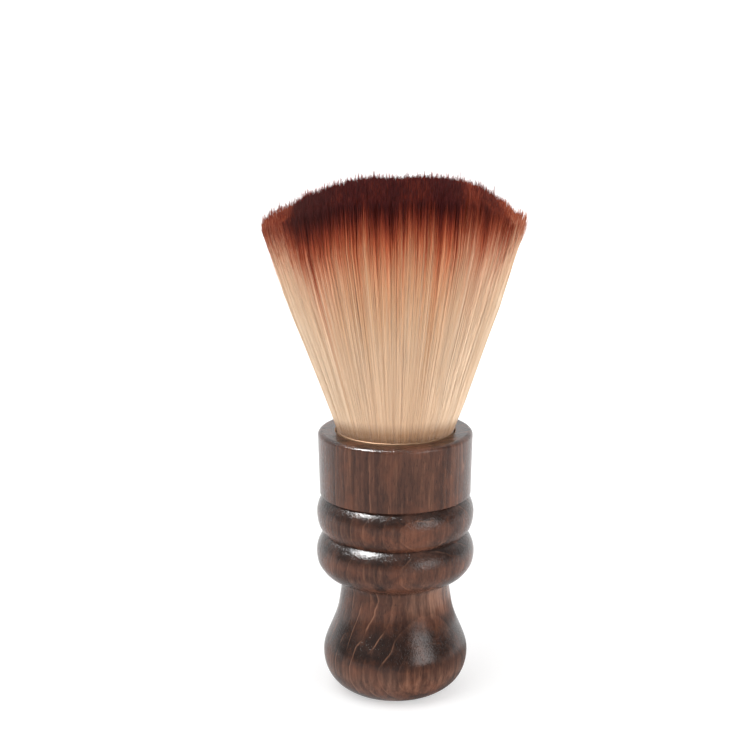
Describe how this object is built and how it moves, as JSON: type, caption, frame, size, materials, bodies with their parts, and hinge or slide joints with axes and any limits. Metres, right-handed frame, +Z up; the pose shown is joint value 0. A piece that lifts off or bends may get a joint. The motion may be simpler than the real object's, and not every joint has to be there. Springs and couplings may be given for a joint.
{
  "type": "neck duster brush",
  "caption": "Barber's neck duster: a turned, lacquered wood handle with a collar, beads and a bulb foot, holding a flared tuft of soft fibres that stands upright.",
  "frame": {"origin": "centre of the flat foot that the brush stands on, on the handle's turning axis", "axes": "+Z up along the turning axis, from the foot to the tips of the tuft; X along the tuft's wide direction, Y along its narrower one"},
  "size_m": [0.0724, 0.0448, 0.145],
  "materials": {
    "stained_wood": "dark walnut stain on beech under a glossy clear lacquer",
    "adhesive": "cured clear amber glue",
    "ferrule_metal": "thin drawn metal, satin, with a rolled lip",
    "resin": "cured translucent potting resin",
    "cord": "twisted natural cord",
    "fibre": "soft synthetic filament, beige, dyed rust red and then dark brown towards the tips"
  },
  "bodies": {
    "handle": {"handle": "stained_wood", "socket_adhesive": "adhesive", "knot_ferrule": "ferrule_metal", "knot_resin": "resin", "binding_cord": "cord", "bristle_root": "fibre"},
    "tuft": {"bristle_head": "fibre"}
  },
  "joints": [
    {"name": "bristle_flex", "type": "hinge", "parent": "handle", "child": "tuft", "pos_m": [0, 0, 0.0763], "axis": [1, 0, 0], "range_deg": [-20, 20], "stiffness_Nm_per_rad": 0.15}
  ]
}
